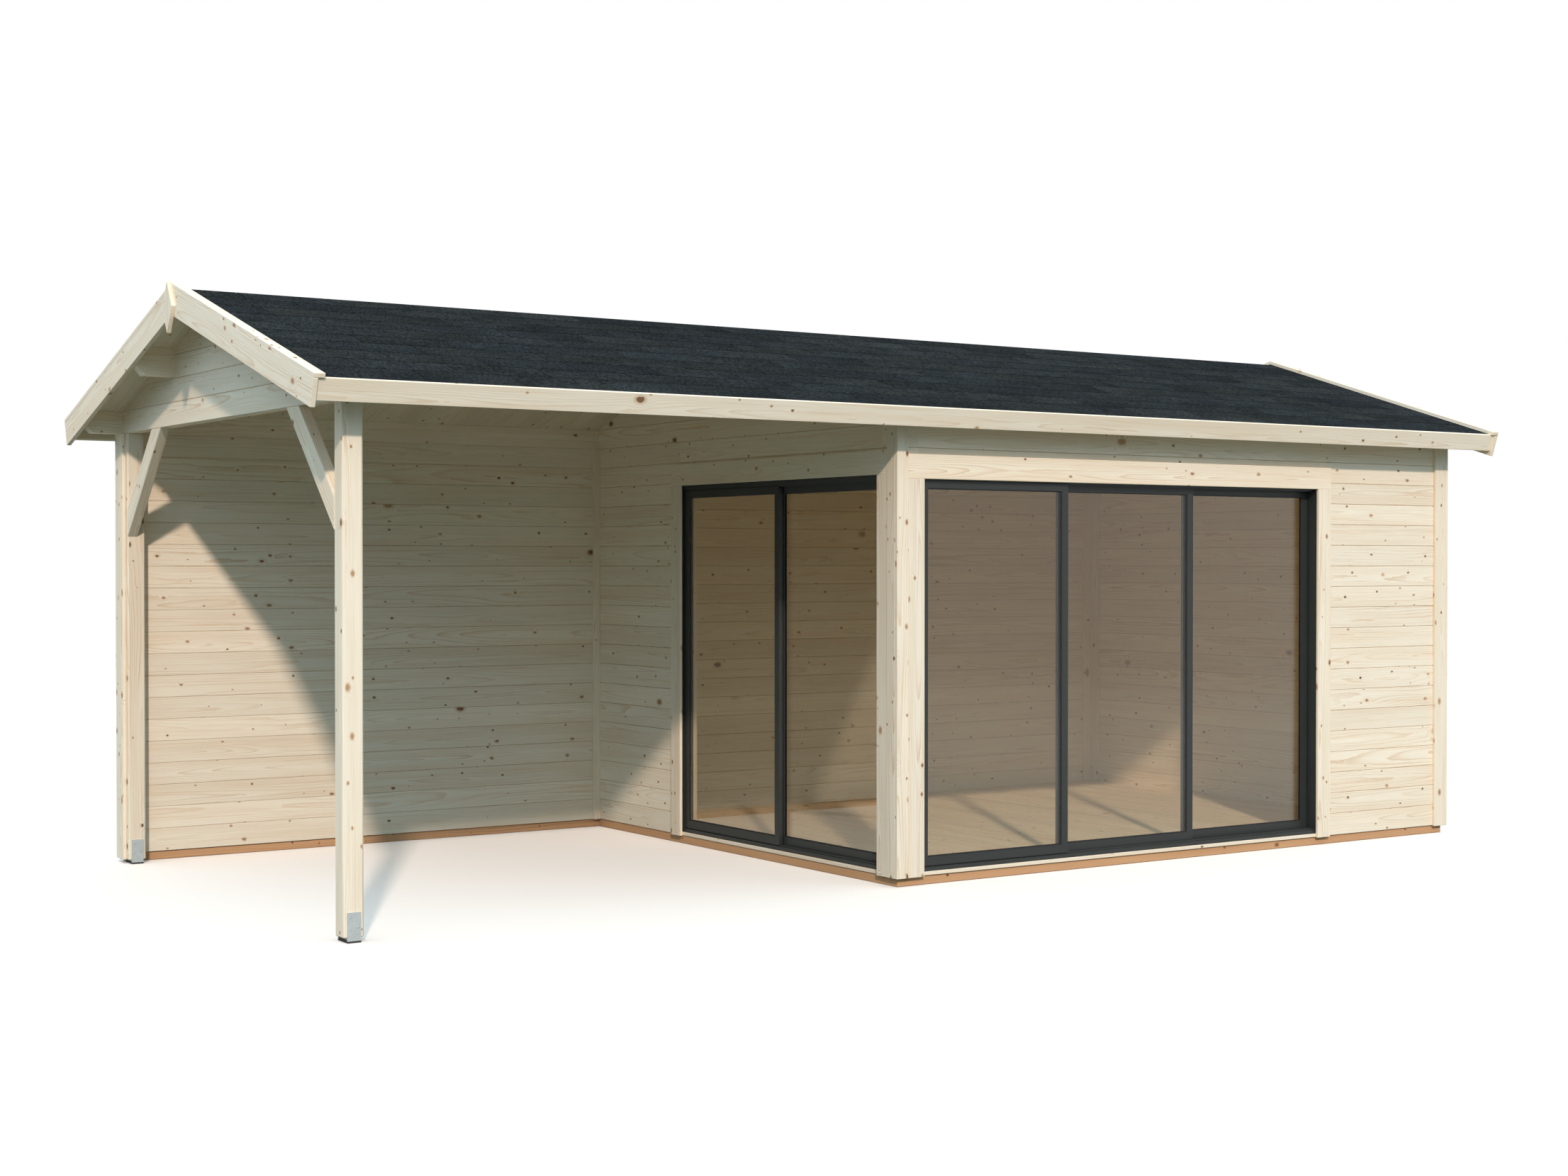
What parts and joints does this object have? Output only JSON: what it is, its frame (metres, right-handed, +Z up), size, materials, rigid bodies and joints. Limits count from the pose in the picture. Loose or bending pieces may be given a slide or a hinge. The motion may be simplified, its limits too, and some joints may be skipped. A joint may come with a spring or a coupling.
{
  "type": "garden house",
  "caption": "Timber garden house with an open corner terrace, sliding glass doors and a shingled saddle roof over both.",
  "frame": {"origin": "on the ground, under the middle of the roof", "axes": "+X along the front from the terrace to the room, +Y from the front to the back, +Z up"},
  "size_m": [7.16, 3.4518, 2.8364],
  "materials": {
    "spruce": "untreated planed spruce, matt",
    "treated_timber": "brown impregnated, matt",
    "bitumen_shingles": "mineral grit, matt",
    "anthracite_aluminium": "satin powder coat",
    "tinted_glass": "clear, gloss",
    "galvanised_steel": "hot-dip zinc, satin"
  },
  "bodies": {
    "house": {"foundation_long_beams": "treated_timber", "foundation_cross_beams": "treated_timber", "floor_joists": "treated_timber", "floor_boards": "spruce", "back_wall": "spruce", "right_wall": "spruce", "corner_wall": "spruce", "front_wall_head": "spruce", "front_wall_right": "spruce", "return_wall_head": "spruce", "return_wall_far": "spruce", "left_gable": "spruce", "return_gable": "spruce", "right_gable": "spruce", "wall_plates": "spruce", "middle_purlins": "spruce", "ridge_purlin": "spruce", "terrace_posts": "spruce", "post_brackets": "galvanised_steel", "post_braces": "spruce", "front_roof_boards": "spruce", "back_roof_boards": "spruce", "front_roofing": "bitumen_shingles", "back_roofing": "bitumen_shingles", "fascia_boards": "spruce", "front_barge_boards": "spruce", "back_barge_boards": "spruce", "front_cap_strips": "spruce", "back_cap_strips": "spruce", "peak_diamonds": "spruce", "corner_post": "spruce", "corner_trims": "spruce", "inner_corner_batten": "spruce", "room_trims": "spruce", "door_side_casings": "spruce", "door_head_boards": "spruce", "door_sill_boards": "spruce", "front_door_frame": "anthracite_aluminium", "side_door_frame": "anthracite_aluminium", "front_right_panel": "anthracite_aluminium", "front_right_glass": "tinted_glass", "side_far_panel": "anthracite_aluminium", "side_far_glass": "tinted_glass"},
    "front_left_leaf": {"front_left_panel": "anthracite_aluminium", "front_left_glass": "tinted_glass"},
    "front_middle_leaf": {"front_middle_panel": "anthracite_aluminium", "front_middle_glass": "tinted_glass"},
    "side_near_leaf": {"side_near_panel": "anthracite_aluminium", "side_near_glass": "tinted_glass"}
  },
  "joints": [
    {"name": "front_left_slide", "type": "slide", "parent": "house", "child": "front_left_leaf", "axis": [1, 0, 0], "range_m": [0, 1.778]},
    {"name": "front_middle_slide", "type": "slide", "parent": "house", "child": "front_middle_leaf", "axis": [1, 0, 0], "range_m": [0, 0.889]},
    {"name": "side_near_slide", "type": "slide", "parent": "house", "child": "side_near_leaf", "axis": [0, 1, 0], "range_m": [0, 0.899]}
  ]
}
